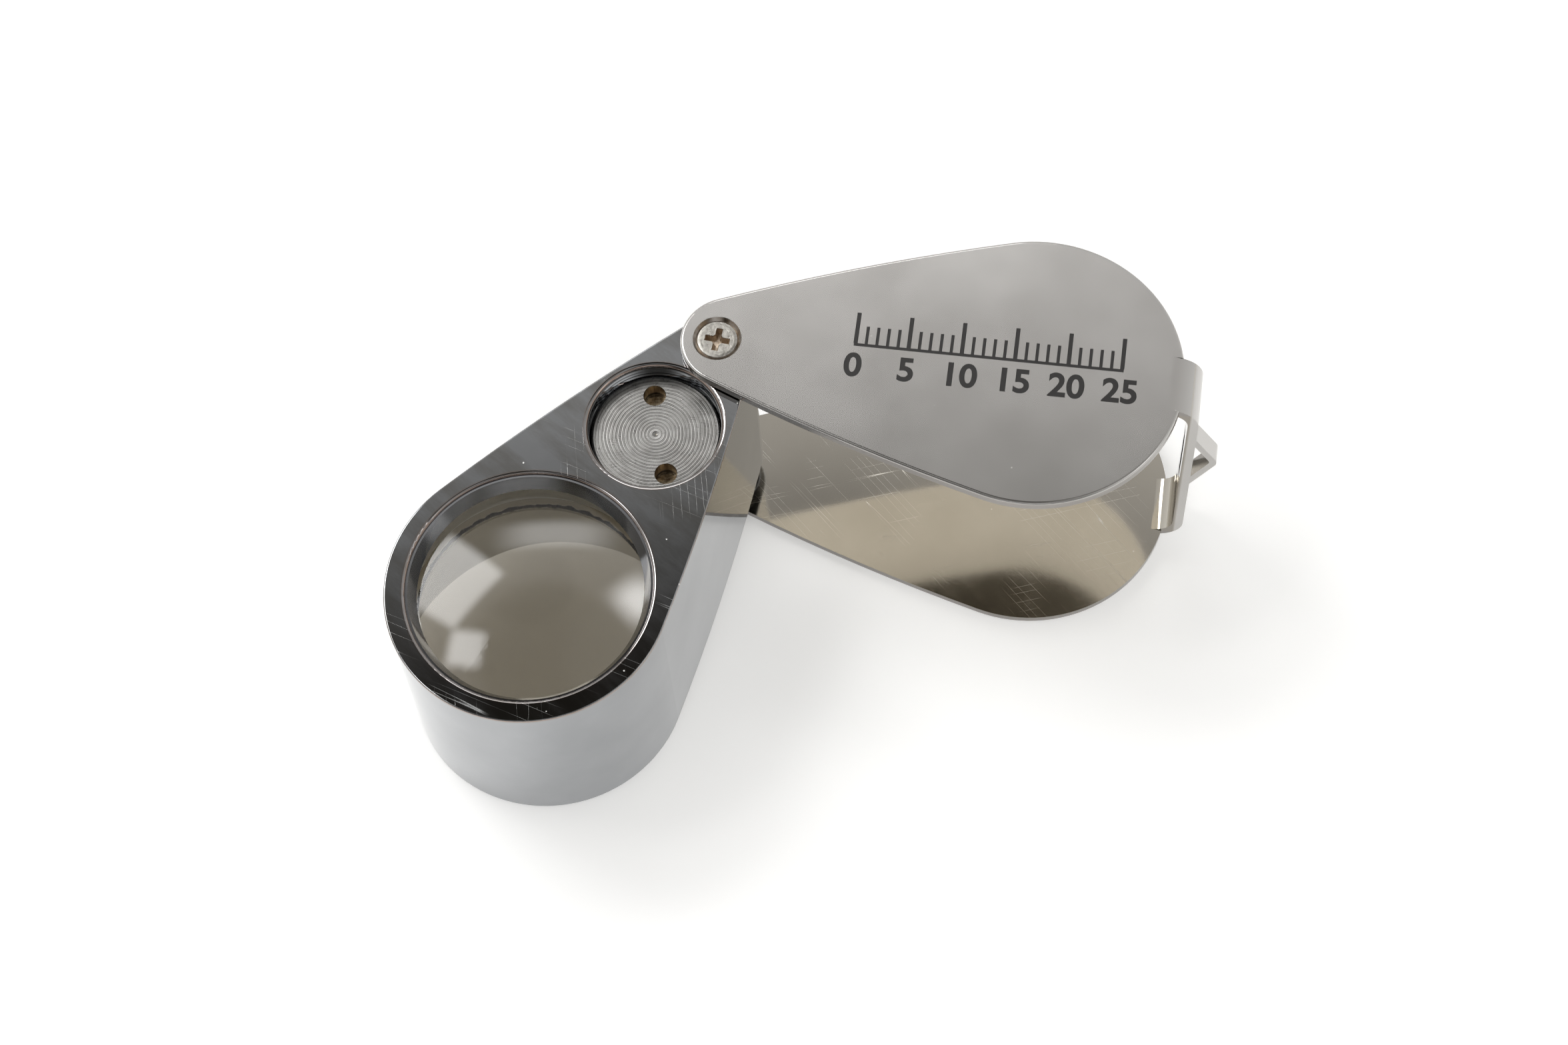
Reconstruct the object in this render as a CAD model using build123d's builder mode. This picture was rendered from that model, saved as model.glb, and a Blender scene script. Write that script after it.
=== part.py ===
from build123d import *

import os
from math import cos, radians, sin, sqrt

# Illuminated folding hand lens.
#
# A drop-shaped lens body swings on a screwed pivot between the two plates of a U-bent sheet sleeve.
# Units are millimetres and +Z is up. The origin is the centre of the sleeve's round end, on the
# underside of its lower plate. +X runs from the pivot to the bridge of the U. The body stands swung out.

# ---- driving dimensions: sleeve ----
sheet_t = 1.0  # thickness of the bent sheet
sleeve_h = 26.9  # height over both plates
sleeve_round_r = 13.9  # round end of each plate
sleeve_tip_r = 4.6  # narrow end of each plate
sleeve_side_r = 217.0  # slight outward bow of the long sides
pivot_x = -30.0  # pivot axis
tip_offset = 1.12  # centre of a narrow end, measured from the pivot towards the round end
plate_edge_r = 0.3  # rolled edge of the outer faces
strap_w = 5.6  # width of the bridge
strap_x = 15.6  # outer face of the bridge
bend_r = 3.0  # outer radius of its two bends
lance_w = 1.8  # strip pushed out of the bridge to hang the lens by
lance_t = 0.7
lance_low, lance_tip, lance_high = 8.3, 13.2, 17.2  # heights of its root, its tip and its other root
lance_reach = 2.5  # how far the tip stands out from the bridge

# ---- driving dimensions: pivot ----
screw_r = 1.0
screw_l = 6.0
thread_reach = 7.0  # depth of the threaded bore in each end of the post
cross_w, cross_span, cross_depth, cross_taper = 0.62, 2.4, 0.8, 14
cross_core_r = 0.56  # worn middle of the cross
cross_turn = radians(-5)
head_edge = 0.1
head_r = 1.98
head_sink = 0.25  # top of the screw head below the plate's face
seat_r = 2.33  # mouth of the countersink in each plate
post_r = 1.88
post_clearance = 0.05
washer_r = 2.8
top_washer_t = 0.2
spacer_t = 2.3
wave_t = 0.18  # sheet of the wave washer
wave_rise = 0.2  # how far its middle stands above its ends
body_play = 0.05  # vertical play of the body on the pivot

# ---- driving dimensions: lens body ----
open_angle = 117.2  # how far the body is swung out of the sleeve
body_h = 21.8
body_round_r = 13.2
body_tip_r = 3.95
body_side_r = 265.0
body_round_u = 30.2  # centre of its round end, measured from the pivot along the body
body_edge_r = 0.15

# ---- driving dimensions: optics ----
lens_u = 29.95  # lens axis, measured from the pivot along the body
bore_r = 11.4  # lens bore
bore_lip_r = 0.27  # rounded mouth of the bore
seat_lip_r = 10.2  # open bore under the lens
seat_h = 10.9  # ledge that carries the lens, above the body's underside
seat_ring_t = 1.1  # ring between the ledge and the glass
glass_r = 11.2
dome_r = 40.0  # curvature of both lens faces
view_r = 10.5  # glass left free by the retaining ring: the 21 mm lens
land_r = 10.3  # where the flat land of the lower lens face begins
glass_sink = 0.2  # top of the dome below the body's top face

# ---- driving dimensions: battery and light ----
cell_u = 10.25  # battery axis, measured from the pivot along the body
well_r = 6.25
well_lip_r = 0.42  # rounded mouth of the battery well
well_depth = 15.3
thread_pitch = 0.5
thread_depth = 0.13
cap_sink = 1.84
cap_t = 2.3
cap_clearance = 0.15
spanner_hole_r = 1.07
spanner_circle_r = 4.15
spanner_turn = 43.0
spanner_shift_u, spanner_shift_v = -0.19, 0.37  # the two holes are drilled off centre
cell_r, cell_h, cell_count = 5.75, 3.05, 3
liner_t = 0.35
contact_t = 0.25
leaf_t, leaf_w, leaf_reach, leaf_bend_r = 0.2, 3.0, 3.8, 0.3  # folded leaf spring under the cap
cell_step_h, cell_step_r = 0.35, 0.9  # raised negative face of a cell and the rim left round it
spanner_hole_depth = 1.8
pip_r, pip_depth = 0.3, 0.15  # centre mark left by the lathe
led_u = 13.0  # light axis
led_pocket_r = 3.1
led_pocket_floor = 1.6
led_r = 1.5
led_flange_r = 1.85
led_flange_h = 0.9
led_foot = 0.9  # tip of the lamp's dome above the body's underside
led_flange_foot = 4.2
led_flare_r, led_throat_r, led_flare_h = 2.9, 1.65, 1.0  # opening the light leaves by
lead_w, lead_gap = 0.45, 1.27
slack = 0.05  # room left round a fitted piece

# ---- driving dimensions: switch ----
switch_u = 8.6  # along the body, in the wall turned away from the visible side
switch_level = 4.1  # height of its middle above the body's underside
switch_l, switch_h, switch_d = 6.4, 3.2, 3.0
slot_l, slot_h, slot_d = 4.6, 1.8, 1.5
knob_l, knob_h = 2.4, 1.64
knob_proud = 0.9
knob_lift = 0.3  # underside of the knob above the floor of the slot
rib_w, rib_depth = 0.3, 0.25
switch_travel = 2.0
wire_channel_l, wire_channel_h, wire_channel_d = 1.8, 1.6, 2.2  # from the switch to the battery well
wire_channel_x = 1.6
blade_t = 0.15

# ---- places worked out from the driving dimensions ----
plate_gap_top = sleeve_h - sheet_t
body_top = plate_gap_top - top_washer_t - body_play
body_foot = body_top - body_h
swing = radians(-open_angle)
along = (cos(swing), sin(swing), 0)  # from the pivot to the lens
body_plane = Plane(origin=(pivot_x, 0, body_foot), x_dir=along, z_dir=(0, 0, 1))
pivot_axis = Axis((pivot_x, 0, 0), (0, 0, 1))
pivot_plane = Plane(origin=(pivot_x, 0, 0), x_dir=(1, 0, 0), z_dir=(0, -1, 0))
mid_plane = Plane.XY.offset(sleeve_h / 2)


def sag(radius):
    """Fall of a lens face from its middle to a given radius."""
    return dome_r - sqrt(dome_r**2 - radius**2)


def drop(plane, tip_u, tip_r, round_u, round_r, side_r):
    """Drop outline: two end arcs and two bowed sides that meet them without a corner."""
    span = round_u - tip_u
    to_tip = side_r - tip_r
    to_round = side_r - round_r
    centre_u = (to_tip**2 - to_round**2 + span**2) / (2 * span)
    centre_v = sqrt(to_tip**2 - centre_u**2)
    tip_join = Vector(-centre_u, centre_v) * (tip_r / to_tip)
    round_join = Vector(span - centre_u, centre_v) * (round_r / to_round)
    middle = (tip_join + Vector(span, 0) + round_join) * 0.5 - Vector(centre_u, -centre_v)
    side = middle.normalized() * side_r + Vector(centre_u, -centre_v)
    with BuildSketch(plane) as outline:
        with BuildLine():
            start = Vector(tip_u, 0)
            upper = [start + tip_join, start + side, Vector(round_u, 0) + round_join]
            lower = [Vector(point.X, -point.Y) for point in upper]
            ThreePointArc(upper[0], upper[1], upper[2])
            ThreePointArc(upper[2], (round_u + round_r, 0), lower[2])
            ThreePointArc(lower[2], lower[1], lower[0])
            ThreePointArc(lower[0], (tip_u - tip_r, 0), upper[0])
        make_face()
    return outline.sketch


def plate_outline(plane):
    return drop(plane, pivot_x + tip_offset, sleeve_tip_r, 0, sleeve_round_r, sleeve_side_r)


def disc(level, u, outer_r, inner_r=0.0):
    """Disc or ring on the body's axis line, at a height above its underside."""
    with BuildSketch(body_plane.offset(level)) as face:
        with Locations((u, 0)):
            Circle(outer_r)
            if inner_r > 0:
                Circle(inner_r, mode=Mode.SUBTRACT)
    return face.sketch


def upright(u):
    """Upright plane through an axis of the body: x is the radius, y the height above the underside."""
    foot = body_plane.from_local_coords((u, 0, 0))
    return Plane(origin=foot, x_dir=along, z_dir=(along[1], -along[0], 0))


def spin_axis(u):
    return Axis(body_plane.from_local_coords((u, 0, 0)), (0, 0, 1))


def finish(part, name):
    part.label = name
    export_step(part, f"parts/{name}.step")


os.makedirs("parts", exist_ok=True)

# ---- sleeve: two drop plates and the bridge, one bent sheet ----
with BuildPart() as sleeve:
    extrude(plate_outline(Plane.XY), amount=sheet_t)
    fillet(sleeve.faces().sort_by(Axis.Z)[0].edges(), plate_edge_r)
    extrude(plate_outline(Plane.XY.offset(plate_gap_top)), amount=sheet_t)
    fillet(sleeve.faces().sort_by(Axis.Z)[-1].edges(), plate_edge_r)
    bend_x = strap_x - bend_r
    with BuildSketch(Plane.XY):
        with Locations((bend_x, 0)):
            Rectangle(strap_x, strap_w, align=(Align.MIN, Align.CENTER))
    extrude(amount=sleeve_h, mode=Mode.SUBTRACT)
    with BuildSketch(Plane.XZ):
        with BuildLine():
            outside = FilletPolyline(
                (bend_x - sheet_t, 0), (strap_x, 0), (strap_x, sleeve_h), (bend_x - sheet_t, sleeve_h),
                radius=bend_r,
            )
            inner_x = strap_x - sheet_t
            inside = FilletPolyline(
                (bend_x - sheet_t, sheet_t), (inner_x, sheet_t),
                (inner_x, plate_gap_top), (bend_x - sheet_t, plate_gap_top),
                radius=bend_r - sheet_t,
            )
            Line(outside @ 0, inside @ 0)
            Line(outside @ 1, inside @ 1)
        make_face()
    extrude(amount=strap_w / 2, both=True)
    with BuildSketch(Plane.YZ.offset(strap_x - sheet_t)):
        with Locations((0, (lance_low + lance_high) / 2)):
            Rectangle(lance_w, lance_high - lance_low)
    extrude(amount=sheet_t, mode=Mode.SUBTRACT)
    with BuildSketch(Plane.XZ):
        with BuildLine():
            root_x = strap_x - sheet_t / 2
            FilletPolyline(
                (root_x, lance_low - lance_t),
                (strap_x + lance_reach - lance_t / 2, lance_tip),
                (root_x, lance_high + lance_t),
                radius=1.0,
            )
        trace(line_width=lance_t)
    extrude(amount=lance_w / 2, both=True)
    with Locations((pivot_x, 0, sleeve_h), Location((pivot_x, 0, 0), (180, 0, 0))):
        CounterSinkHole(
            radius=seat_r - sheet_t + 0.02, counter_sink_radius=seat_r, counter_sink_angle=90, depth=sheet_t
        )
finish(sleeve.part, "sleeve")

# ---- pivot: threaded post, two flat-head screws and the washers that set the body's height ----
with BuildPart() as pivot_post:
    with BuildSketch(Plane.XY.offset(sheet_t)):
        with Locations((pivot_x, 0)):
            Circle(post_r)
    extrude(amount=plate_gap_top - sheet_t)
    for plane in (Plane.XY.offset(sheet_t), Plane.XY.offset(plate_gap_top).rotated((180, 0, 0))):
        with BuildSketch(plane):
            with Locations((pivot_x, 0)):
                Circle(screw_r)
        extrude(amount=thread_reach, mode=Mode.SUBTRACT)
    bores = pivot_post.edges().filter_by(GeomType.CIRCLE).filter_by(lambda edge: edge.radius < post_r)
    chamfer(bores.group_by(Axis.Z)[0] + bores.group_by(Axis.Z)[-1], seat_r - sheet_t - screw_r + 0.02)
finish(pivot_post.part, "pivot_post")

with BuildPart() as pivot_screws:
    head_top = sleeve_h - head_sink
    shank_r = screw_r - 0.02
    shank_top = head_top - head_r + screw_r
    with BuildSketch(pivot_plane):
        with BuildLine():
            Polyline(
                (0, head_top), (head_r - head_edge, head_top), (head_r, head_top - head_edge),
                (shank_r, shank_top - head_edge), (shank_r, head_top - screw_l), (0, head_top - screw_l),
                close=True,
            )
        make_face()
    revolve(axis=pivot_axis)
    cross_dir = (cos(cross_turn), sin(cross_turn), 0)
    with BuildSketch(Plane(origin=(pivot_x, 0, head_top), x_dir=cross_dir, z_dir=(0, 0, 1))):
        Rectangle(cross_span, cross_w)
        Rectangle(cross_w, cross_span)
        Circle(cross_core_r)
    extrude(amount=-cross_depth, taper=cross_taper, mode=Mode.SUBTRACT)
    mirror(about=mid_plane)
finish(pivot_screws.part, "pivot_screws")

washer_bore_r = post_r + 0.03
with BuildPart() as top_washer:
    with BuildSketch(Plane.XY.offset(plate_gap_top - top_washer_t)):
        with Locations((pivot_x, 0)):
            Circle(washer_r)
            Circle(washer_bore_r, mode=Mode.SUBTRACT)
    extrude(amount=top_washer_t)
finish(top_washer.part, "top_washer")

with BuildPart() as pivot_spacer:
    with BuildSketch(Plane.XY.offset(sheet_t)):
        with Locations((pivot_x, 0)):
            Circle(washer_r)
            Circle(washer_bore_r, mode=Mode.SUBTRACT)
    extrude(amount=spacer_t)
    chamfer(pivot_spacer.edges().filter_by(GeomType.CIRCLE).group_by(SortBy.RADIUS)[-1], 0.2)
finish(pivot_spacer.part, "pivot_spacer")

with BuildPart() as wave_washer:
    wave_z = sheet_t + spacer_t
    with BuildSketch(pivot_plane):
        with BuildLine():
            low_arc = ThreePointArc((-washer_r, wave_z), (0, wave_z + wave_rise), (washer_r, wave_z))
            high_arc = ThreePointArc(
                (-washer_r, wave_z + wave_t), (0, wave_z + wave_rise + wave_t), (washer_r, wave_z + wave_t)
            )
            Line(low_arc @ 0, high_arc @ 0)
            Line(low_arc @ 1, high_arc @ 1)
        make_face()
    extrude(amount=washer_r, both=True)
    with BuildSketch(Plane.XY.offset(wave_z)):
        with Locations((pivot_x, 0)):
            Circle(washer_r - 0.1)
            Circle(washer_bore_r, mode=Mode.SUBTRACT)
    extrude(amount=2 * (wave_rise + wave_t), mode=Mode.INTERSECT)
finish(wave_washer.part, "wave_washer")

# ---- lens body: one casting with the pivot bore, lens bore, battery well and light pocket ----
side_slope = (body_round_r - body_tip_r) / (body_round_u - tip_offset)
# outward normal of the switch wall, in the body's plane
side_out = Vector(-side_slope, -sqrt(1 - side_slope**2), 0)
side_along = Vector(sqrt(1 - side_slope**2), -side_slope, 0)
wall_bow = 0.27  # the wall stands this far outside a straight line there
wall_reach = body_tip_r + side_out.X * tip_offset + wall_bow
switch_v = (wall_reach - side_out.X * switch_u) / side_out.Y
switch_foot = body_plane.from_local_coords((switch_u, switch_v, switch_level))
world_out = body_plane.from_local_coords(tuple(side_out)) - body_plane.origin
world_along = body_plane.from_local_coords(tuple(side_along)) - body_plane.origin
switch_plane = Plane(origin=switch_foot, x_dir=world_along, z_dir=world_out)

with BuildPart() as lens_body:
    extrude(
        drop(body_plane, tip_offset, body_tip_r, body_round_u, body_round_r, body_side_r), amount=body_h
    )
    fillet(lens_body.faces().filter_by(Axis.Z).edges(), body_edge_r)
    extrude(disc(0, 0, post_r + post_clearance), amount=body_h, mode=Mode.SUBTRACT)
    extrude(disc(0, lens_u, seat_lip_r), amount=body_h, mode=Mode.SUBTRACT)
    extrude(disc(seat_h, lens_u, bore_r), amount=body_h, mode=Mode.SUBTRACT)
    extrude(disc(body_h - well_depth, cell_u, well_r), amount=body_h, mode=Mode.SUBTRACT)
    extrude(disc(led_pocket_floor, led_u, led_pocket_r), amount=body_h / 2, mode=Mode.SUBTRACT)
    with BuildSketch(upright(led_u)):
        with BuildLine():
            Polyline(
                (0, 0), (led_flare_r, 0), (led_throat_r, led_flare_h),
                (led_throat_r, led_pocket_floor), (0, led_pocket_floor), close=True,
            )
        make_face()
    revolve(axis=spin_axis(led_u), mode=Mode.SUBTRACT)
    with BuildSketch(switch_plane.offset(2)):
        Rectangle(switch_l, switch_h)
    extrude(amount=-2 - switch_d, mode=Mode.SUBTRACT)
    with BuildSketch(switch_plane.offset(-switch_d)):
        with Locations((wire_channel_x, 0)):
            Rectangle(wire_channel_l, wire_channel_h)
    extrude(amount=-wire_channel_d, mode=Mode.SUBTRACT)
    rims = lens_body.edges().filter_by(GeomType.CIRCLE).filter_by_position(
        Axis.Z, body_top - 0.01, body_top + 0.01
    )
    fillet([edge for edge in rims if abs(edge.radius - bore_r) < 0.01], bore_lip_r)
    fillet([edge for edge in rims if abs(edge.radius - well_r) < 0.01], well_lip_r)
    groove = body_h - well_lip_r - thread_pitch / 2
    while groove > body_h - cap_sink - cap_t:
        with BuildSketch(upright(cell_u)):
            with BuildLine():
                Polyline(
                    (well_r - 0.02, groove + thread_pitch * 0.42),
                    (well_r + thread_depth, groove),
                    (well_r - 0.02, groove - thread_pitch * 0.42),
                    close=True,
                )
            make_face()
        revolve(axis=spin_axis(cell_u), mode=Mode.SUBTRACT)
        groove -= thread_pitch
finish(lens_body.part, "lens_body")

# ---- optics: retaining ring, one thick lens with a ground edge, and the ring that it rests on ----
edge_top = body_h - glass_sink - sag(glass_r)
edge_foot = seat_h + seat_ring_t
ring_seat = body_h - glass_sink - sag(view_r) + 0.03
ring_sink = 0.32  # top of the retaining ring below the body's top face

with BuildPart() as retaining_ring:
    ring_r = bore_r - 0.02
    with BuildSketch(upright(lens_u)):
        with BuildLine():
            Polyline(
                (ring_r, body_h - ring_sink), (ring_r - 0.2, body_h - ring_sink), (view_r, ring_seat),
                (ring_r, ring_seat - 0.2), close=True,
            )
        make_face()
    revolve(axis=spin_axis(lens_u))
finish(retaining_ring.part, "retaining_ring")

with BuildPart() as lens:
    lens_top = body_h - glass_sink
    lens_foot = edge_foot - sag(land_r)
    with BuildSketch(upright(lens_u)):
        with BuildLine():
            Line((0, lens_foot), (0, lens_top))
            ThreePointArc((0, lens_top), (glass_r / 2, lens_top - sag(glass_r / 2)), (glass_r, edge_top))
            Polyline((glass_r, edge_top), (glass_r, edge_foot), (land_r, edge_foot))
            ThreePointArc((land_r, edge_foot), (land_r / 2, lens_foot + sag(land_r / 2)), (0, lens_foot))
        make_face()
    revolve(axis=spin_axis(lens_u))
finish(lens.part, "lens")

with BuildPart() as lens_seat:
    extrude(disc(seat_h, lens_u, bore_r - 0.05, land_r + 0.05), amount=seat_ring_t)
    chamfer(lens_seat.faces().sort_by(Axis.Z)[-1].edges(), 0.15)
finish(lens_seat.part, "lens_seat")

# ---- battery: cap, contact spring, cells in their liner, and the contact under them ----
cap_top = body_h - cap_sink
cap_foot = cap_top - cap_t
cell_foot = body_h - well_depth + contact_t

with BuildPart() as battery_cap:
    extrude(disc(cap_foot, cell_u, well_r - cap_clearance), amount=cap_t)
    chamfer(battery_cap.faces().sort_by(Axis.Z)[-1].edges(), 0.22)
    chamfer(battery_cap.faces().sort_by(Axis.Z)[0].edges(), 0.3)
    with BuildSketch(body_plane.offset(cap_top)):
        with Locations((cell_u + spanner_shift_u, spanner_shift_v)):
            with PolarLocations(spanner_circle_r, 2, start_angle=spanner_turn):
                Circle(spanner_hole_r)
    extrude(amount=-spanner_hole_depth, mode=Mode.SUBTRACT)
    with BuildSketch(upright(cell_u)):
        with BuildLine():
            Polyline((0, cap_top), (pip_r, cap_top), (0, cap_top - pip_depth), close=True)
        make_face()
    revolve(axis=spin_axis(cell_u), mode=Mode.SUBTRACT)
finish(battery_cap.part, "battery_cap")

for number in range(cell_count):
    with BuildPart() as button_cell:
        base = cell_foot + number * cell_h
        extrude(disc(base, cell_u, cell_r), amount=cell_h - cell_step_h)
        fillet(button_cell.faces().sort_by(Axis.Z)[-1].edges(), 0.25)
        extrude(disc(base + cell_h - cell_step_h, cell_u, cell_r - cell_step_r), amount=cell_step_h)
        fillet(button_cell.faces().sort_by(Axis.Z)[0].edges(), 0.2)
    finish(button_cell.part, f"button_cell_{number + 1}")

with BuildPart() as battery_liner:
    liner_r = well_r - 0.1
    cells_top = cell_foot + cell_count * cell_h
    extrude(disc(cell_foot, cell_u, liner_r, liner_r - liner_t), amount=cells_top - cell_foot)
finish(battery_liner.part, "battery_liner")

with BuildPart() as contact_spring:
    leaf_low = cells_top + leaf_t / 2
    leaf_high = cap_foot - leaf_t / 2
    with BuildSketch(upright(cell_u)):
        with BuildLine():
            FilletPolyline(
                (-leaf_reach, leaf_low), (leaf_reach, leaf_low),
                (-leaf_reach, leaf_high), (leaf_reach, leaf_high),
                radius=leaf_bend_r,
            )
        trace(line_width=leaf_t)
    extrude(amount=leaf_w / 2, both=True)
finish(contact_spring.part, "contact_spring")

with BuildPart() as contact_plate:
    extrude(disc(body_h - well_depth, cell_u, well_r - 0.3), amount=contact_t)
finish(contact_plate.part, "contact_plate")

# ---- light: lamp, its plastic holder and its two leads ----
holder_top = body_h - well_depth - 0.1
lamp_top = led_flange_foot + led_flange_h
with BuildPart() as led:
    with BuildSketch(upright(led_u)):
        with BuildLine():
            Polyline(
                (0, led_foot), (0, lamp_top), (led_flange_r, lamp_top),
                (led_flange_r, led_flange_foot), (led_r, led_flange_foot), (led_r, led_foot + led_r),
            )
            RadiusArc((led_r, led_foot + led_r), (0, led_foot), led_r)
        make_face()
    revolve(axis=spin_axis(led_u))
finish(led.part, "led")

with BuildPart() as led_holder:
    holder_wall = disc(led_pocket_floor, led_u, led_pocket_r - slack, led_flange_r + slack)
    holder_seat = disc(led_pocket_floor, led_u, led_flange_r + slack, led_r + 2 * slack)
    extrude(holder_wall, amount=holder_top - led_pocket_floor)
    extrude(holder_seat, amount=led_flange_foot - led_pocket_floor)
finish(led_holder.part, "led_holder")

with BuildPart() as led_leads:
    for offset, top in ((-lead_gap / 2, body_h - well_depth), (lead_gap / 2, holder_top - 0.2)):
        with BuildSketch(body_plane.offset(lamp_top)):
            with Locations((led_u + offset, 0)):
                Rectangle(lead_w, lead_w)
        extrude(amount=top - lamp_top)
finish(led_leads.part, "led_leads")

# ---- switch: housing in the wall, sliding knob, and the contact blade behind it ----
with BuildPart() as switch_housing:
    with BuildSketch(switch_plane.offset(-switch_d)):
        Rectangle(switch_l - 0.06, switch_h - 0.06)
    extrude(amount=switch_d - 0.05)
    with BuildSketch(switch_plane):
        Rectangle(slot_l, slot_h)
    extrude(amount=-slot_d, mode=Mode.SUBTRACT)
finish(switch_housing.part, "switch_housing")

knob_rest = -switch_travel / 2
with BuildPart() as switch_knob:
    with BuildSketch(switch_plane.offset(knob_lift - slot_d)):
        with Locations((knob_rest, 0)):
            Rectangle(knob_l, knob_h)
    extrude(amount=slot_d - knob_lift + knob_proud)
    with BuildSketch(switch_plane.offset(knob_proud)):
        with Locations((knob_rest, 0)):
            with GridLocations(2 * rib_w, 0, 3, 1):
                Rectangle(rib_w, knob_h)
    extrude(amount=-rib_depth, mode=Mode.SUBTRACT)
finish(switch_knob.part, "switch_knob")

with BuildPart() as switch_contact:
    with BuildSketch(switch_plane.offset(-slot_d)):
        Rectangle(slot_l - 0.4, slot_h - 0.5)
    extrude(amount=blade_t)
finish(switch_contact.part, "switch_contact")
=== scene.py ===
import math

import bmesh
import bpy
from mathutils import Matrix, Vector, noise


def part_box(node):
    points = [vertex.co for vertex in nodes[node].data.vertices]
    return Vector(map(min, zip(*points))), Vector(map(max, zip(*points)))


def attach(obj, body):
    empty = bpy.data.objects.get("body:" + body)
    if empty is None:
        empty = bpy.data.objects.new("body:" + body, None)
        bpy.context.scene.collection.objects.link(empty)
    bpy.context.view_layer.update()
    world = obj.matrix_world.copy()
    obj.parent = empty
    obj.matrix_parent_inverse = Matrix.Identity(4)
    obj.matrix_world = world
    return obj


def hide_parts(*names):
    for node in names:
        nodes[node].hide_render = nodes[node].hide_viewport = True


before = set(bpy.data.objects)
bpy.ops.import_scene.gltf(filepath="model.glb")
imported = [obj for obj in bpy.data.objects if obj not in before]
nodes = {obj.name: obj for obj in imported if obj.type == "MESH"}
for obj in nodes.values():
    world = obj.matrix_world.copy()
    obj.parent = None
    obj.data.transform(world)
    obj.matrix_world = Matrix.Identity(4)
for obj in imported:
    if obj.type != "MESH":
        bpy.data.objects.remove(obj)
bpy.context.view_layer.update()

# Looks of the folding hand lens: materials, torn seat ring, printed scale, table, light and camera.
# Lengths are in metres.

MM = 0.001

# ---- places read from the frame ----
sleeve_low, sleeve_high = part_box("sleeve")
body_low, body_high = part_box("lens_body")
cap_low, cap_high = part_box("battery_cap")
glass_low, glass_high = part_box("lens")
screw_low, screw_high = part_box("pivot_screws")
seat_low, seat_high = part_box("lens_seat")

pivot = (screw_low + screw_high) / 2
cap_centre = (cap_low + cap_high) / 2
lens_centre = (glass_low + glass_high) / 2
plate_mid = (sleeve_low.z + sleeve_high.z) / 2

# ---- sizes that the frame doesn't give ----
plate_t = 1.0 * MM  # sheet of the sleeve
bend_x = 14.8 * MM  # the flat plates end here and the bridge begins
screw_seat_r = 2.33 * MM  # mouth of the countersink
body_end_r = 13.2 * MM  # round end of the body
lens_rim_in, lens_rim_out = 11.5 * MM, 11.78 * MM  # edge round the lens bore, with a painted brown reflection
well_rim_in, well_rim_out = 6.5 * MM, 6.74 * MM  # edge round the battery well, with a painted brown reflection
seat_hole_r = 10.35 * MM  # open middle of the ring under the lens
cap_holes_r = 5.65 * MM  # both spanner holes lie within this radius
cap_hole_depth = 1.8 * MM


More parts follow.
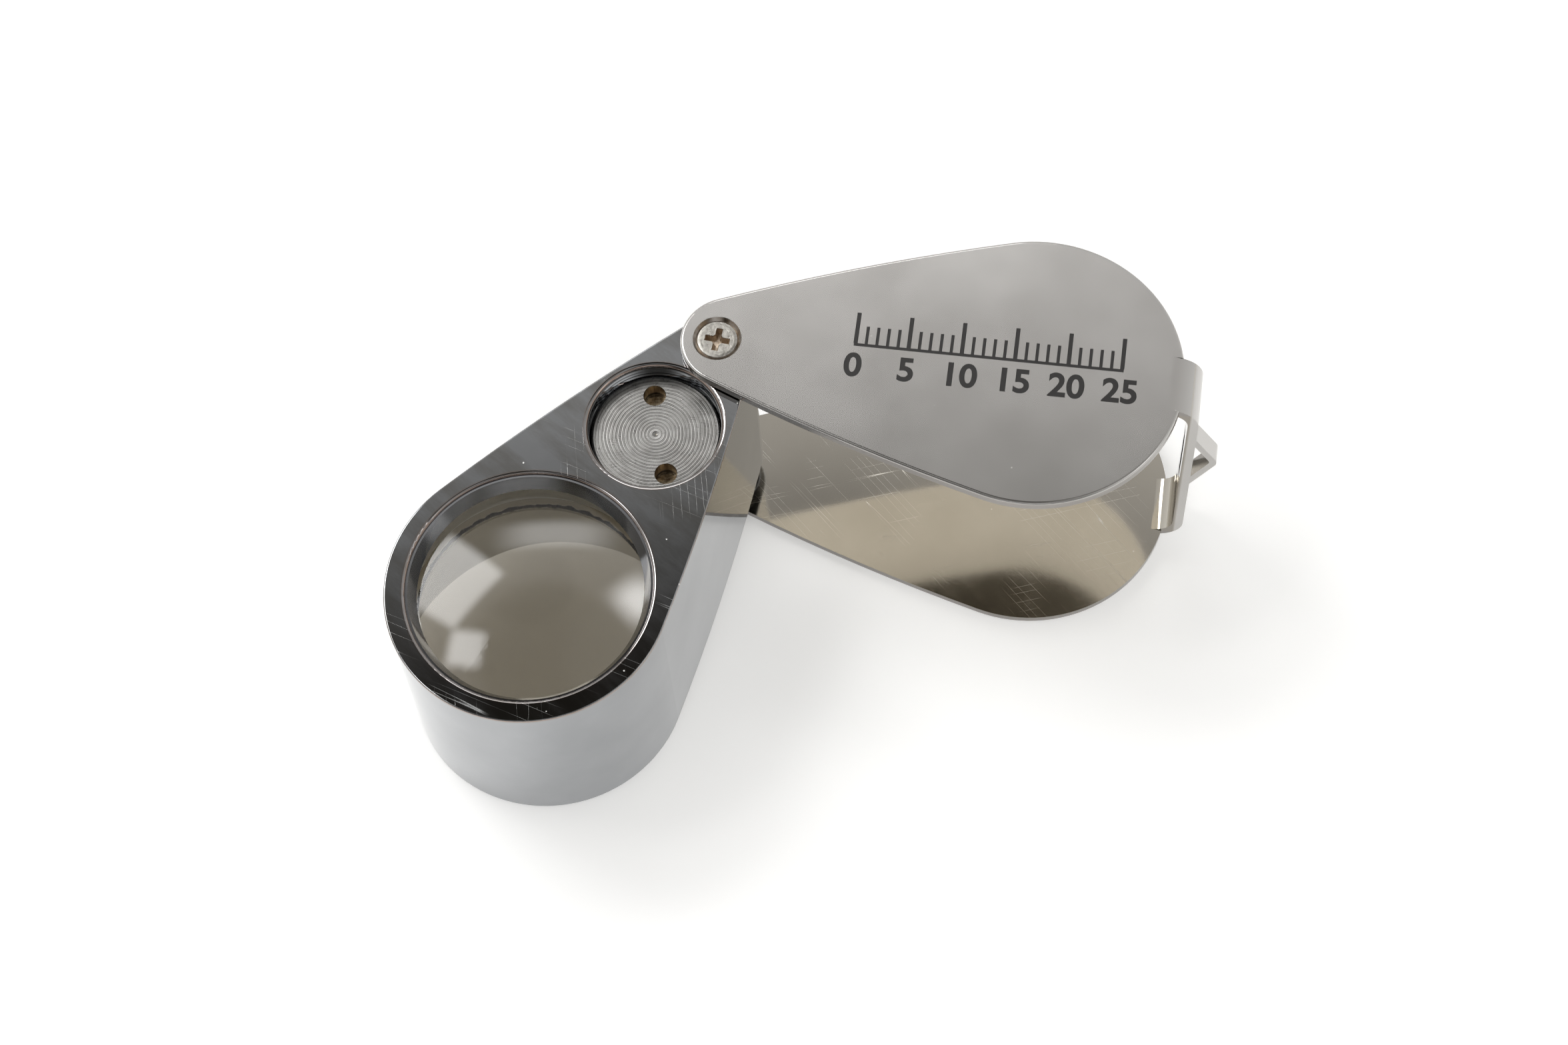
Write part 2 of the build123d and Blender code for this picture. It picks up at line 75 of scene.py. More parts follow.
# ---- small helpers for node materials ----
class Shader:
    """A Principled material and the nodes that feed it."""

    def __init__(self, name):
        self.material = bpy.data.materials.new(name)
        self.material.use_nodes = True
        self.tree = self.material.node_tree
        self.bsdf = self.tree.nodes["Principled BSDF"]
        self.place = self.add("ShaderNodeTexCoord").outputs["Object"]

    def add(self, kind, **settings):
        node = self.tree.nodes.new(kind)
        for key, value in settings.items():
            setattr(node, key, value)
        return node

    def link(self, value, socket):
        if isinstance(value, bpy.types.NodeSocket):
            self.tree.links.new(value, socket)
        else:
            socket.default_value = value

    def set(self, **values):
        for key, value in values.items():
            self.link(value, self.bsdf.inputs[key.replace("_", " ")])

    def math(self, operation, a, b=0.0, clamp=False):
        node = self.add("ShaderNodeMath", operation=operation, use_clamp=clamp)
        for value, socket in zip((a, b), node.inputs):
            self.link(value, socket)
        return node.outputs[0]

    def plus(self, a, b):
        return self.math("ADD", a, b)

    def minus(self, a, b):
        return self.math("SUBTRACT", a, b)

    def times(self, a, b):
        return self.math("MULTIPLY", a, b)

    def larger(self, a, b):
        return self.math("MAXIMUM", a, b)

    def absolute(self, value):
        return self.math("ABSOLUTE", value)

    def wave(self, value, pitch):
        """A sine that repeats once a pitch."""
        return self.math("SINE", self.times(value, math.tau / pitch))

    def noise(self, scale, detail=3.0, roughness=0.5, place=None):
        node = self.add("ShaderNodeTexNoise")
        self.link(place or self.place, node.inputs["Vector"])
        node.inputs["Scale"].default_value = scale
        node.inputs["Detail"].default_value = detail
        node.inputs["Roughness"].default_value = roughness
        return node.outputs["Fac"]

    def remap(self, value, from_low, from_high, to_low=0.0, to_high=1.0):
        node = self.add("ShaderNodeMapRange")
        for value, socket in zip((value, from_low, from_high, to_low, to_high), node.inputs):
            self.link(value, socket)
        return node.outputs["Result"]

    def mix(self, factor, a, b):
        """Colour from a to b."""
        node = self.add("ShaderNodeMix", data_type="RGBA")
        self.link(factor, node.inputs["Factor"])
        self.link(a, node.inputs["A"])
        self.link(b, node.inputs["B"])
        return node.outputs["Result"]

    def mix_value(self, factor, a, b):
        """Plain number from a to b, whose sockets come before those for colours."""
        node = self.add("ShaderNodeMix", data_type="FLOAT")
        self.link(factor, node.inputs[0])
        self.link(a, node.inputs[2])
        self.link(b, node.inputs[3])
        return node.outputs[0]

    def split(self, vector=None):
        node = self.add("ShaderNodeSeparateXYZ")
        self.link(vector or self.place, node.inputs[0])
        return node.outputs

    def moved(self, centre=(0, 0, 0), turn=0.0, stretch=(1, 1, 1)):
        """Object coordinates about a centre, turned about Z and stretched."""
        shift = self.add("ShaderNodeVectorMath", operation="SUBTRACT")
        self.link(self.place, shift.inputs[0])
        shift.inputs[1].default_value = centre
        spin = self.add("ShaderNodeMapping")
        self.link(shift.outputs[0], spin.inputs["Vector"])
        spin.inputs["Rotation"].default_value = (0, 0, turn)
        scale = self.add("ShaderNodeMapping")
        self.link(spin.outputs["Vector"], scale.inputs["Vector"])
        scale.inputs["Scale"].default_value = stretch
        return scale.outputs["Vector"]

    def radius(self, centre):
        x, y, _ = self.split(self.moved(centre))
        return self.math("SQRT", self.plus(self.times(x, x), self.times(y, y)))

    def angle(self, centre):
        x, y, _ = self.split(self.moved(centre))
        return self.math("ARCTAN2", y, x)

    def disc(self, centre, inner, outer):
        """1 within a radius of an upright axis, fading to 0."""
        return self.remap(self.radius(centre), inner, outer, 1.0, 0.0)

    def hoop(self, centre, inner, outer, fade):
        """1 between two radii of an upright axis, 0 elsewhere."""
        return self.minus(self.disc(centre, outer, outer + fade), self.disc(centre, inner, inner + fade))

    def scratches(self, turn, density=900.0, width=0.006, share=0.5):
        """Fine straight marks in one direction: 1 on a mark, 0 elsewhere."""
        slenderness = 60.0
        place = self.moved(turn=turn, stretch=(density / slenderness, density, density))
        lines = self.noise(1.0, detail=0.0, place=place)
        mark = self.remap(self.absolute(self.minus(lines, 0.5)), 0.0, width, 1.0, 0.0)
        patches = self.remap(self.noise(170.0, detail=1.0), share, share + 0.12)
        return self.times(mark, patches)

    def specks(self, scale, size=0.09, share=0.82):
        """Scattered dust: 1 on a speck, 0 elsewhere."""
        cells = self.add("ShaderNodeTexVoronoi", feature="F1")
        self.link(self.place, cells.inputs["Vector"])
        cells.inputs["Scale"].default_value = scale
        near = self.remap(cells.outputs["Distance"], size * 0.6, size, 1.0, 0.0)
        chosen = self.remap(self.split(cells.outputs["Color"])[0], share, share + 0.02)
        return self.times(near, chosen)

    def bump(self, height, distance, strength):
        node = self.add("ShaderNodeBump")
        self.link(height, node.inputs["Height"])
        node.inputs["Distance"].default_value = distance
        node.inputs["Strength"].default_value = strength
        return node.outputs["Normal"]


def give(node_name, shader):
    """Puts a material in every slot of a CAD node."""
    for slot in nodes[node_name].material_slots:
        slot.link = "OBJECT"
        slot.material = shader.material


# ---- materials ----
def sleeve_steel():
    """Satin outside, scratched mirror finish inside, told apart by height between the plates."""
    s = Shader("sleeve steel")
    x, _, z = s.split()
    from_mid = s.absolute(s.minus(z, plate_mid))
    half_gap = plate_mid - plate_t
    between = s.remap(from_mid, half_gap + 0.05 * MM, half_gap + 0.15 * MM, 1.0, 0.0)
    on_plates = s.remap(x, bend_x - 0.1 * MM, bend_x + 0.1 * MM, 1.0, 0.0)
    inside = s.times(between, on_plates)

    dust = s.larger(s.specks(900, share=0.95), s.specks(420, size=0.05, share=0.93))
    steep_marks = s.scratches(0.75, width=0.004, share=0.44)
    shallow_marks = s.scratches(-0.35, density=700, width=0.004, share=0.5)
    marks = s.larger(steep_marks, shallow_marks)
    scored = s.times(marks, inside)

    tone = s.noise(90, detail=4)
    satin = s.mix(s.remap(tone, 0.35, 0.65), (0.53, 0.517, 0.50, 1), (0.575, 0.562, 0.545, 1))
    mirror = s.mix(s.remap(tone, 0.3, 0.7), (0.57, 0.535, 0.47, 1), (0.63, 0.595, 0.53, 1))
    base = s.mix(inside, satin, mirror)
    litter = s.larger(s.times(dust, 0.8), s.times(scored, 0.2))
    base = s.mix(litter, base, (0.85, 0.84, 0.82, 1))

    # dark brown in the countersinks, round the screw heads
    face = plate_mid - sleeve_low.z
    sunk = s.remap(from_mid, face - 0.06 * MM, face - 0.01 * MM, 1.0, 0.0)
    screw_seat = s.times(sunk, s.disc(pivot, screw_seat_r + 0.03 * MM, screw_seat_r + 0.09 * MM))
    countersink_mottle = s.remap(s.noise(900, detail=4), 0.35, 0.65, 0.55, 1.0)
    base = s.mix(s.times(screw_seat, countersink_mottle), base, (0.17, 0.125, 0.085, 1))

    # the sheared edges of the plates are darker than their faces: a painted dark brown reflection on faces
    # chosen by which way they point
    level = s.absolute(s.split(s.add("ShaderNodeNewGeometry").outputs["Normal"])[2])
    painted_edge_reflection = s.times(s.times(s.remap(level, 0.2, 0.6, 1.0, 0.0), on_plates), 0.6)
    base = s.mix(painted_edge_reflection, base, (0.13, 0.11, 0.095, 1))

    rough_outside = s.remap(tone, 0.3, 0.7, 0.19, 0.23)
    rough_inside = s.plus(s.remap(tone, 0.3, 0.7, 0.05, 0.10), s.times(marks, 0.3))
    rough = s.mix_value(inside, rough_outside, rough_inside)
    s.set(Base_Color=base, Metallic=1.0, Roughness=rough, Normal=s.bump(scored, -0.002 * MM, 0.4))
    return s


def body_chrome():
    """Chrome with handling smears, scratches and dust on top, and a painted brown reflection on the rims and
    under the top edge. The bore under the lens is duller: a pale wall that paints the chrome's reflection of
    the table, with painted shade darker towards the bottom.
    """
    s = Shader("body chrome")
    painted_brown_reflection = (0.34, 0.19, 0.11, 1)
    z = s.split()[2]
    tone = s.noise(130, detail=4)
    smear = s.noise(1.0, detail=5, roughness=0.6, place=s.moved(turn=0.6, stretch=(120, 420, 200)))
    marks = s.larger(s.scratches(0.3), s.scratches(1.35, density=1300, share=0.55))
    dust = s.larger(s.specks(1100, size=0.12, share=0.9), s.specks(500, size=0.07, share=0.86))

    base = s.mix(s.remap(tone, 0.3, 0.7), (0.335, 0.345, 0.358, 1), (0.385, 0.395, 0.408, 1))
    on_top = s.remap(z, body_high.z - 0.5 * MM, body_high.z - 0.02 * MM)
    smeared = s.times(s.remap(smear, 0.36, 0.6, 0.75, 0.0), on_top)
    base = s.mix(smeared, base, (0.24, 0.235, 0.225, 1))
    litter = s.times(s.larger(dust, s.times(marks, 0.5)), on_top)
    base = s.mix(s.times(litter, 0.9), base, (0.85, 0.85, 0.83, 1))

    # painted brown reflection of warm dark surroundings on the rims of the lens bore and the battery well
    lens_rim = s.hoop(lens_centre, lens_rim_in, lens_rim_out, 0.06 * MM)
    well_rim = s.hoop(cap_centre, well_rim_in, well_rim_out, 0.06 * MM)
    rims = s.times(s.math("MAXIMUM", lens_rim, well_rim, clamp=True), on_top)
    base = s.mix(s.times(rims, 0.15), base, painted_brown_reflection)

    # painted reflection: a dull pale wall in the bore stands in for the chrome mirroring the table, with
    # painted shade darker towards the bottom
    under_lens = s.remap(z, seat_low.z, seat_low.z + 0.1 * MM, 1.0, 0.0)
    bore = s.times(s.disc(lens_centre, seat_hole_r - 0.05 * MM, seat_hole_r + 0.05 * MM), under_lens)
    painted_shade_height = s.remap(z, body_low.z, body_low.z + 7 * MM)
    wall = s.mix(painted_shade_height, (0.56, 0.545, 0.50, 1), (0.74, 0.73, 0.69, 1))
    base = s.mix(bore, base, wall)

    # painted brown reflection in a narrow band just under the top edge
    above = s.remap(z, body_high.z - 0.3 * MM, body_high.z - 0.2 * MM)
    edge = s.minus(above, s.remap(z, body_high.z - 0.1 * MM, body_high.z - 0.04 * MM))
    base = s.mix(s.times(edge, 0.5), base, painted_brown_reflection)

    smudge = s.times(s.remap(smear, 0.42, 0.66, 0.0, 0.06), on_top)
    rough = s.plus(s.plus(0.025, smudge), s.times(litter, 0.35))
    rough = s.larger(rough, s.times(bore, 0.5))
    s.set(Base_Color=base, Metallic=s.remap(bore, 0, 1, 1.0, 0.3), Roughness=rough)
    s.set(Normal=s.bump(marks, -0.002 * MM, 0.5))
    return s


def ring_chrome():
    """Chrome with the fine rings of its turning."""
    s = Shader("ring chrome")
    turning = s.wave(s.radius(lens_centre), 0.09 * MM)
    tone = s.noise(400, detail=4)
    base = s.mix(tone, (0.44, 0.45, 0.475, 1), (0.52, 0.53, 0.555, 1))
    s.set(Base_Color=base, Metallic=1.0, Roughness=s.remap(tone, 0.3, 0.7, 0.03, 0.08))
    s.set(Normal=s.bump(turning, 0.001 * MM, 0.1))
    return s


def cap_nickel():
    """Face turned in rings and crossed by chatter marks, with painted shade in the grooves. The brass
    spanner holes get painted shade low on their walls, near the floor.
    """
    s = Shader("cap nickel")
    radius = s.radius(cap_centre)
    angle = s.angle(cap_centre)
    wander = s.times(s.minus(s.noise(260, detail=2), 0.5), 0.5 * MM)
    wandering = s.plus(radius, wander)
    coarse = s.wave(wandering, 0.34 * MM)
    fine = s.wave(wandering, 0.15 * MM)
    chatter_count, chatter_twist = 90, 9000
    chatter = s.math("SINE", s.plus(s.times(angle, chatter_count), s.times(radius, chatter_twist)))
    height = s.plus(coarse, s.plus(s.times(fine, 0.7), s.times(chatter, 0.25)))

    z = s.split()[2]
    # painted shade in the bottoms of the turned grooves
    groove_shade = s.remap(height, -1.6, 0.4, 0.6, 0.0)
    tone = s.remap(s.noise(900, detail=5), 0.3, 0.7)
    silver = s.mix(tone, (0.26, 0.255, 0.245, 1), (0.37, 0.364, 0.352, 1))
    silver = s.mix(groove_shade, silver, (0.09, 0.087, 0.08, 1))

    within = s.disc(cap_centre, cap_holes_r - 0.05 * MM, cap_holes_r + 0.05 * MM)
    in_hole = s.times(s.remap(z, cap_high.z - 0.2 * MM, cap_high.z - 0.08 * MM, 1.0, 0.0), within)
    hole_floor = cap_high.z - cap_hole_depth
    # painted shade low in the spanner holes, near their floors
    deep_hole_shade = s.remap(z, hole_floor + 0.3 * MM, hole_floor + 0.6 * MM, 1.0, 0.0)
    off_floor = s.remap(z, hole_floor + 0.01 * MM, hole_floor + 0.06 * MM)
    streaks = s.noise(1.0, detail=3, place=s.moved(stretch=(3000, 3000, 150)))
    wall = s.mix(s.remap(streaks, 0.35, 0.65), (0.25, 0.18, 0.11, 1), (0.62, 0.53, 0.39, 1))
    brass = s.mix(s.times(deep_hole_shade, off_floor), wall, (0.02, 0.014, 0.009, 1))
    s.set(Base_Color=s.mix(in_hole, silver, brass), Metallic=1.0)
    s.set(Roughness=s.remap(s.noise(1500), 0.3, 0.7, 0.26, 0.36), Normal=s.bump(height, 0.006 * MM, 0.5))
    return s


def screw_nickel():
    """Coarse grained head with a worn, brownish recess."""
    s = Shader("screw nickel")
    grain = s.noise(3200, detail=6, roughness=0.7)
    pits = s.noise(1500, detail=3)
    from_mid = s.absolute(s.minus(s.split()[2], plate_mid))
    half = (screw_high.z - screw_low.z) / 2
    recess = s.remap(from_mid, half - 0.12 * MM, half - 0.03 * MM, 1.0, 0.0)
    silver = s.mix(s.remap(grain, 0.3, 0.7), (0.23, 0.218, 0.197, 1), (0.54, 0.522, 0.483, 1))
    base = s.mix(s.times(recess, 0.8), silver, (0.60, 0.49, 0.38, 1))
    smoother_rim = s.remap(s.radius(pivot), 1.6 * MM, 1.85 * MM, 1.0, 0.25)
    height = s.times(s.plus(grain, s.times(pits, 0.8)), smoother_rim)
    s.set(Base_Color=base, Metallic=1.0, Roughness=s.remap(pits, 0.3, 0.7, 0.25, 0.45))
    s.set(Normal=s.bump(height, 0.08 * MM, 0.9))
    return s


def plain_metal(name, low, high, rough_low, rough_high):
    """Metal that wanders between two tones."""
    s = Shader(name)
    tone = s.noise(600, detail=4)
    s.set(Base_Color=s.mix(s.remap(tone, 0.3, 0.7), low, high), Metallic=1.0)
    s.set(Roughness=s.remap(tone, 0.3, 0.7, rough_low, rough_high), Normal=s.bump(tone, 0.01 * MM, 0.3))
    return s


def seat_ring():
    """Frosted top under the edge of the lens, and a torn line of dark glue round the inner wall."""
    s = Shader("seat ring")
    from_top = s.minus(seat_high.z, s.split()[2])
    tear = s.remap(s.noise(1400, detail=5, roughness=0.7), 0.35, 0.65, 0.5 * MM, 1.0 * MM)
    torn = s.remap(from_top, tear, s.plus(tear, 0.08 * MM), 1.0, 0.0)
    torn = s.times(torn, s.remap(from_top, 0.05 * MM, 0.09 * MM))
    tone = s.noise(900, detail=4)
    frosted = s.mix(tone, (0.82, 0.82, 0.80, 1), (0.92, 0.92, 0.90, 1))
    s.set(Base_Color=s.mix(torn, frosted, (0.02, 0.013, 0.009, 1)))
    s.set(Roughness=s.remap(tone, 0.3, 0.7, 0.35, 0.5), Normal=s.bump(tone, 0.01 * MM, 0.3))
    return s


def plastic(name, low, high, rough):
    """Finely grained plastic that wanders between two tones."""
    s = Shader(name)
    tone = s.noise(2600, detail=3)
    s.set(Base_Color=s.mix(tone, low, high), Roughness=s.remap(tone, 0.3, 0.7, rough - 0.06, rough + 0.08))
    s.set(Normal=s.bump(tone, 0.012 * MM, 0.5))
    return s


def lens_glass():
    """Polished faces with a faint film, and a ground edge."""
    s = Shader("lens glass")
    film = s.noise(240, detail=5)
    edge_r = (glass_high.x - glass_low.x) / 2
    ground = s.remap(s.radius(lens_centre), edge_r - 0.08 * MM, edge_r - 0.02 * MM)
    s.set(Base_Color=s.mix(ground, (0.72, 0.665, 0.565, 1), (0.90, 0.90, 0.88, 1)), IOR=1.5)
    s.set(Transmission_Weight=s.remap(ground, 0, 1, 1.0, 0.1))
    s.set(Roughness=s.larger(s.remap(film, 0.4, 0.8, 0.025, 0.045), s.times(ground, 0.55)))
    return s


def led_clear():
    """Clear lamp with a little haze."""
    s = Shader("led clear")
    haze = s.noise(700, detail=3)
    s.set(Base_Color=(0.95, 0.97, 1.0, 1), Transmission_Weight=0.9, IOR=1.5)
    s.set(Roughness=s.remap(haze, 0.3, 0.7, 0.03, 0.12))
    return s


def printed_ink():
    """Black ink, a little worn."""
    s = Shader("printed ink")
    wear = s.noise(2400, detail=4)
    s.set(Base_Color=s.mix(wear, (0.006, 0.005, 0.005, 1), (0.022, 0.020, 0.019, 1)))
    s.set(Roughness=s.remap(wear, 0.3, 0.7, 0.4, 0.6), Normal=s.bump(wear, 0.004 * MM, 0.4))
    return s


def table_white():
    """White paint that glows a little, and less where something stands close to it."""
    s = Shader("table white")
    s.set(Base_Color=(0.93, 0.93, 0.925, 1), Roughness=0.75)
    covered = s.add("ShaderNodeAmbientOcclusion", samples=4)
    covered.inputs["Distance"].default_value = 20 * MM
    lit = s.remap(covered.outputs["AO"], 0.05, 0.25, 0.25, 1.0)
    s.set(Emission_Color=s.mix(lit, (0, 0, 0, 1), (1.0, 0.995, 0.98, 1)), Emission_Strength=0.235)
    s.set(Normal=s.bump(s.noise(1500, detail=3), 0.02 * MM, 0.2))
    return s


brass_bright = plain_metal("contact brass", (0.66, 0.50, 0.24, 1), (0.80, 0.66, 0.38, 1), 0.18, 0.3)
black_plastic = plastic("switch black", (0.018, 0.018, 0.018, 1), (0.035, 0.035, 0.035, 1), 0.45)
cell_steel = plain_metal("cell steel", (0.60, 0.60, 0.61, 1), (0.72, 0.72, 0.74, 1), 0.16, 0.28)
steel_turned = plain_metal("turned steel", (0.48, 0.48, 0.49, 1), (0.62, 0.62, 0.63, 1), 0.2, 0.34)

looks = {
    "sleeve": sleeve_steel(),
    "lens_body": body_chrome(),
    "retaining_ring": ring_chrome(),
    "lens": lens_glass(),
    "battery_cap": cap_nickel(),
    "pivot_screws": screw_nickel(),
    "pivot_post": steel_turned,
    "pivot_spacer": steel_turned,
    "top_washer": plain_metal("washer brass", (0.55, 0.42, 0.2, 1), (0.70, 0.56, 0.3, 1), 0.25, 0.4),
    "wave_washer": plain_metal("spring steel", (0.32, 0.33, 0.37, 1), (0.46, 0.46, 0.5, 1), 0.2, 0.35),
    "battery_liner": plastic("liner plastic", (0.03, 0.03, 0.03, 1), (0.06, 0.06, 0.06, 1), 0.5),
    "contact_spring": brass_bright,
    "contact_plate": brass_bright,
    "switch_contact": brass_bright,
    "led": led_clear(),
    "led_holder": plastic("holder plastic", (0.05, 0.05, 0.055, 1), (0.09, 0.09, 0.095, 1), 0.45),
    "led_leads": plain_metal("tinned wire", (0.55, 0.55, 0.56, 1), (0.72, 0.72, 0.74, 1), 0.25, 0.4),
    "switch_housing": black_plastic,
    "switch_knob": black_plastic,
}
for number in range(1, 4):
    looks[f"button_cell_{number}"] = cell_steel
for node_name, shader in looks.items():
    give(node_name, shader)


# ---- pieces made here ----
def new_piece(name, mesh, material):
    """Turns a bmesh into an object of one material, and frees it."""
    data = bpy.data.meshes.new(name)
    mesh.to_mesh(data)
    mesh.free()
    data.materials.append(material)
    piece = bpy.data.objects.new(name, data)
    bpy.context.scene.collection.objects.link(piece)
    return piece


def torn_ring():
    """The lens seat, a hair below the glass and with a ragged inner lip. Each step has five points."""
    steps = 720
    outer_r = (seat_high.x - seat_low.x) / 2
    top = seat_high.z - 0.03 * MM
    lip_waves, tear_waves, octaves = 14, 40, 3
    mesh = bmesh.new()
    loops = []
    for step in range(steps):
        angle = math.tau * step / steps
        across = Vector((math.cos(angle), math.sin(angle), 0))
        lip = 0.5 + noise.fractal(across * lip_waves, 1.0, 2.0, octaves) * 0.5
        tear = 0.5 + noise.fractal(across * tear_waves, 1.0, 2.0, octaves) * 0.5
        profile = (
            (outer_r, seat_low.z),
            (outer_r, top),
            (seat_hole_r + (0.08 + 0.4 * lip) * MM, top),
            (seat_hole_r, top - (0.1 + 0.3 * tear) * MM),
            (seat_hole_r, seat_low.z),
        )
        loop = []
        for radius, height in profile:
            x = lens_centre.x + across.x * radius
            y = lens_centre.y + across.y * radius
            loop.append(mesh.verts.new((x, y, height)))
        loops.append(loop)
    for here, ahead in zip(loops, loops[1:] + loops[:1]):
        for at in range(len(here)):
            after = (at + 1) % len(here)
            mesh.faces.new((here[at], ahead[at], ahead[after], here[after]))
    bmesh.ops.recalc_face_normals(mesh, faces=mesh.faces)
    ring = new_piece("lens_seat_torn", mesh, seat_ring().material)
    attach(ring, "lens_body")
    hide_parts("lens_seat")


def printed_scale(centre, length, ink):
    """Ticks every millimetre and numbers every five, a thin layer of ink lying on the plate."""
    ink_low = sleeve_high.z - 0.002 * MM
    ink_high = sleeve_high.z + 0.008 * MM
    line = 0.15 * MM  # half the width of the long line
    numbered = 5
    number_drop = 3.3 * MM
    count = round(length / MM)
    start = centre.x - length / 2
    mesh = bmesh.new()

    def bar(low_x, high_x, low_y, high_y):
        low = Vector((low_x, low_y, ink_low))
        high = Vector((high_x, high_y, ink_high))
        place = Matrix.Translation((low + high) / 2) @ Matrix.Diagonal((*(high - low), 1))
        bmesh.ops.create_cube(mesh, size=1, matrix=place)

    bar(start - line, start + length + line, centre.y - line, centre.y + line)
    for step in range(count + 1):
        tall, half = (3.4 * MM, 0.2 * MM) if step % numbered == 0 else (2.0 * MM, 0.15 * MM)
        x = start + step * MM
        bar(x - half, x + half, centre.y + line, centre.y + tall)
    ticks = new_piece("scale_ticks", mesh, ink)
    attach(ticks, "sleeve")

    for step in range(0, count + 1, numbered):
        words = bpy.data.curves.new(f"scale_number_{step}", "FONT")
        words.body = str(step)
        words.size = 3.4 * MM
        words.offset = 0.09 * MM
        words.extrude = (ink_high - ink_low) / 2
        words.align_x = "CENTER"
        words.materials.append(ink)
        number = bpy.data.objects.new(f"scale_number_{step}", words)
        number.location = (start + step * MM, centre.y - number_drop, (ink_low + ink_high) / 2)
        bpy.context.scene.collection.objects.link(number)
        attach(number, "sleeve")


torn_ring()
print_centre = Vector((-4.5 * MM, 0.8 * MM, 0))
printed_scale(print_centre, 25 * MM, printed_ink().material)


# ---- table ----
def lay_table():
    """Rises towards the body: touches the lower plate on that side and the rim of the body's round end."""
    size = 3.0
    rises_towards = Vector((-0.322, -0.947, 0))
    plate_reach = sleeve_high.y  # the sleeve's round end is about the origin
    round_end = body_low.xy.to_3d() + Vector((body_end_r, body_end_r, 0))
    body_reach = round_end.dot(rises_towards) + body_end_r
    slope = (body_low.z - sleeve_low.z) / (body_reach - plate_reach)
    gap = Vector((0, 0, 0.02 * MM))
    bpy.ops.mesh.primitive_grid_add(x_subdivisions=2, y_subdivisions=2, size=size)
    table = bpy.context.object
    table.name = "table"
    normal = Vector((-slope * rises_towards.x, -slope * rises_towards.y, 1)).normalized()
    table.rotation_mode = "QUATERNION"
    table.rotation_quaternion = Vector((0, 0, 1)).rotation_difference(normal)
    table.location = rises_towards * plate_reach - gap
    table.data.materials.append(table_white().material)


lay_table()


# ---- light ----
def towards(azimuth, elevation):
    """Unit vector from two angles in degrees. Azimuth is measured from +Y towards +X."""
    turn, rise = math.radians(azimuth), math.radians(elevation)
    return Vector((math.sin(turn) * math.cos(rise), math.cos(turn) * math.cos(rise), math.sin(rise)))


def soften(data, fade):
    """Fades an area light over a share of its width at each edge, as the cloth of a softbox does."""
    data.use_nodes = True
    tree = data.node_tree
    face = tree.nodes.new("ShaderNodeNewGeometry")
    sides = tree.nodes.new("ShaderNodeSeparateXYZ")
    tree.links.new(face.outputs["Parametric"], sides.inputs[0])
    both = tree.nodes.new("ShaderNodeMath")
    both.operation = "MULTIPLY"
    for axis, factor in zip(("X", "Y"), both.inputs):
        rise = tree.nodes.new("ShaderNodeMath")
        rise.operation = "PINGPONG"
        rise.inputs[1].default_value = 0.5
        tree.links.new(sides.outputs[axis], rise.inputs[0])
        ease = tree.nodes.new("ShaderNodeMapRange")
        ease.interpolation_type = "SMOOTHSTEP"
        ease.inputs["From Max"].default_value = fade
        tree.links.new(rise.outputs[0], ease.inputs["Value"])
        tree.links.new(ease.outputs["Result"], factor)
    tree.links.new(both.outputs[0], tree.nodes["Emission"].inputs["Strength"])


def softbox(name, azimuth, elevation, distance, width, height, power, fade=0.38, through_glass=False):
    """Area light that faces the table between the body and the sleeve. Returns its object."""
    aim = Vector((lens_centre.x + 15 * MM, lens_centre.y + 15 * MM, 0))
    out = towards(azimuth, elevation)
    data = bpy.data.lights.new(name, "AREA")
    data.shape = "RECTANGLE"
    data.size, data.size_y = width, height
    data.energy = power
    soften(data, fade)
    light = bpy.data.objects.new(name, data)
    light.location = aim + out * distance
    light.rotation_mode = "QUATERNION"
    light.rotation_quaternion = (-out).to_track_quat("-Z", "Y")
    light.visible_transmission = through_glass
    bpy.context.scene.collection.objects.link(light)
    return light


# azimuth, elevation, distance, width, height, power, share of the width that fades
softbox("softbox back left", -57, 51, 0.55, 0.22, 0.24, 1.2, 0.15)
softbox("softbox left", -86, 65, 0.60, 0.14, 0.14, 0.5, 0.3)
softbox("softbox back", -10, 51, 0.70, 0.45, 0.15, 0.9)
softbox("softbox right", 100, 36, 0.70, 0.32, 0.32, 0.4, through_glass=True)
front = softbox("softbox front", 172, 36, 0.80, 0.90, 0.40, 6.3)
front.visible_glossy = False
softbox("softbox front mirrored", 172, 36, 0.76, 0.90, 0.40, 1.0)

# the umbrella lights nothing but the lens
glass_only = bpy.data.collections.new("glass only")
glass_only.objects.link(nodes["lens"])
umbrella = softbox("umbrella back right", 40, 61, 0.60, 0.20, 0.20, 1.4, 0.45)
umbrella.light_linking.receiver_collection = glass_only

# the strong front softbox lights all but the lens, and polished metal mirrors only its faint twin
not_glass = bpy.data.collections.new("not glass")
not_glass.objects.link(nodes["lens"])
not_glass.collection_objects[0].light_linking.link_state = "EXCLUDE"
front.light_linking.receiver_collection = not_glass


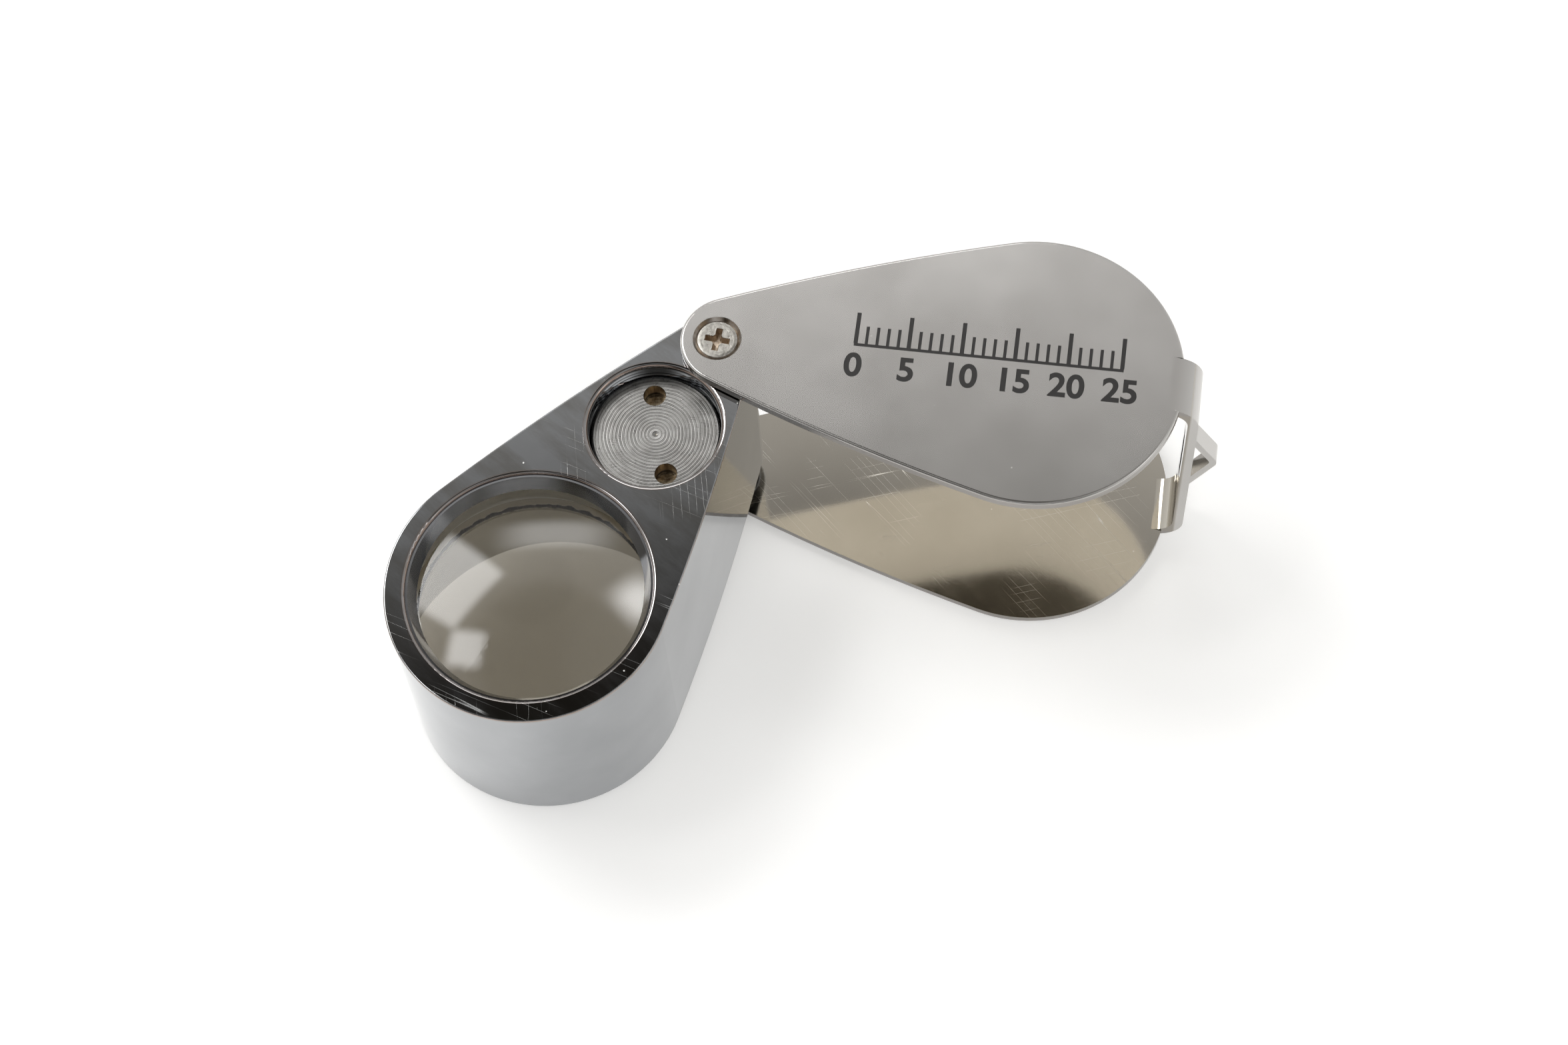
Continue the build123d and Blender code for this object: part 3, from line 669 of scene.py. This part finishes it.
def studio():
    """A pale dome with three darker patches: nearly overhead, high on the right and behind the camera."""
    world = bpy.data.worlds.new("studio")
    bpy.context.scene.world = world
    world.use_nodes = True
    tree = world.node_tree
    direction = tree.nodes.new("ShaderNodeTexCoord").outputs["Generated"]
    level = tree.nodes.new("ShaderNodeSeparateXYZ")
    tree.links.new(direction, level.inputs[0])
    dome = tree.nodes.new("ShaderNodeValToRGB")
    tree.links.new(level.outputs["Z"], dome.inputs["Fac"])
    dome.color_ramp.elements[0].color = (0.80, 0.80, 0.79, 1)
    dome.color_ramp.elements[1].color = (0.55, 0.54, 0.525, 1)
    colour = dome.outputs["Color"]
    # azimuth, elevation, radius of the dark middle, radius where it ends, tint
    for azimuth, elevation, inner, outer, tint in (
        (-30, 83, 16.0, 22.0, (0.030, 0.027, 0.023, 1)),
        (72, 72, 10.0, 18.0, (0.30, 0.295, 0.28, 1)),
        (180, 32, 22.0, 48.0, (0.050, 0.047, 0.043, 1)),
    ):
        near = tree.nodes.new("ShaderNodeVectorMath")
        near.operation = "DOT_PRODUCT"
        near.inputs[1].default_value = towards(azimuth, elevation)
        tree.links.new(direction, near.inputs[0])
        fade = tree.nodes.new("ShaderNodeMapRange")
        fade.interpolation_type = "SMOOTHSTEP"
        fade.inputs["From Min"].default_value = math.cos(math.radians(outer))
        fade.inputs["From Max"].default_value = math.cos(math.radians(inner))
        tree.links.new(near.outputs["Value"], fade.inputs["Value"])
        blend = tree.nodes.new("ShaderNodeMix")
        blend.data_type = "RGBA"
        tree.links.new(fade.outputs["Result"], blend.inputs["Factor"])
        tree.links.new(colour, blend.inputs["A"])
        blend.inputs["B"].default_value = tint
        colour = blend.outputs["Result"]
    tree.links.new(colour, tree.nodes["Background"].inputs["Color"])


studio()


# ---- camera ----
def set_camera():
    """The view the object was fitted in: place, axes and focal length."""
    data = bpy.data.cameras.new("camera")
    data.sensor_width = 36.0
    data.lens = 75.8
    data.clip_start = 0.01
    data.clip_end = 20.0
    camera = bpy.data.objects.new("camera", data)
    place = Vector((6.31, -144.44, 299.72)) * MM
    right = Vector((0.99044, 0.13239, -0.03866))
    up = Vector((-0.10350, 0.89874, 0.42608))
    back = Vector((0.09116, -0.41801, 0.90386))
    turned = Matrix((right, up, back)).transposed().to_4x4()
    camera.matrix_world = Matrix.Translation(place) @ turned
    bpy.context.scene.collection.objects.link(camera)
    bpy.context.scene.camera = camera


set_camera()
bpy.context.scene.view_settings.view_transform = "Standard"

bpy.context.view_layer.update()
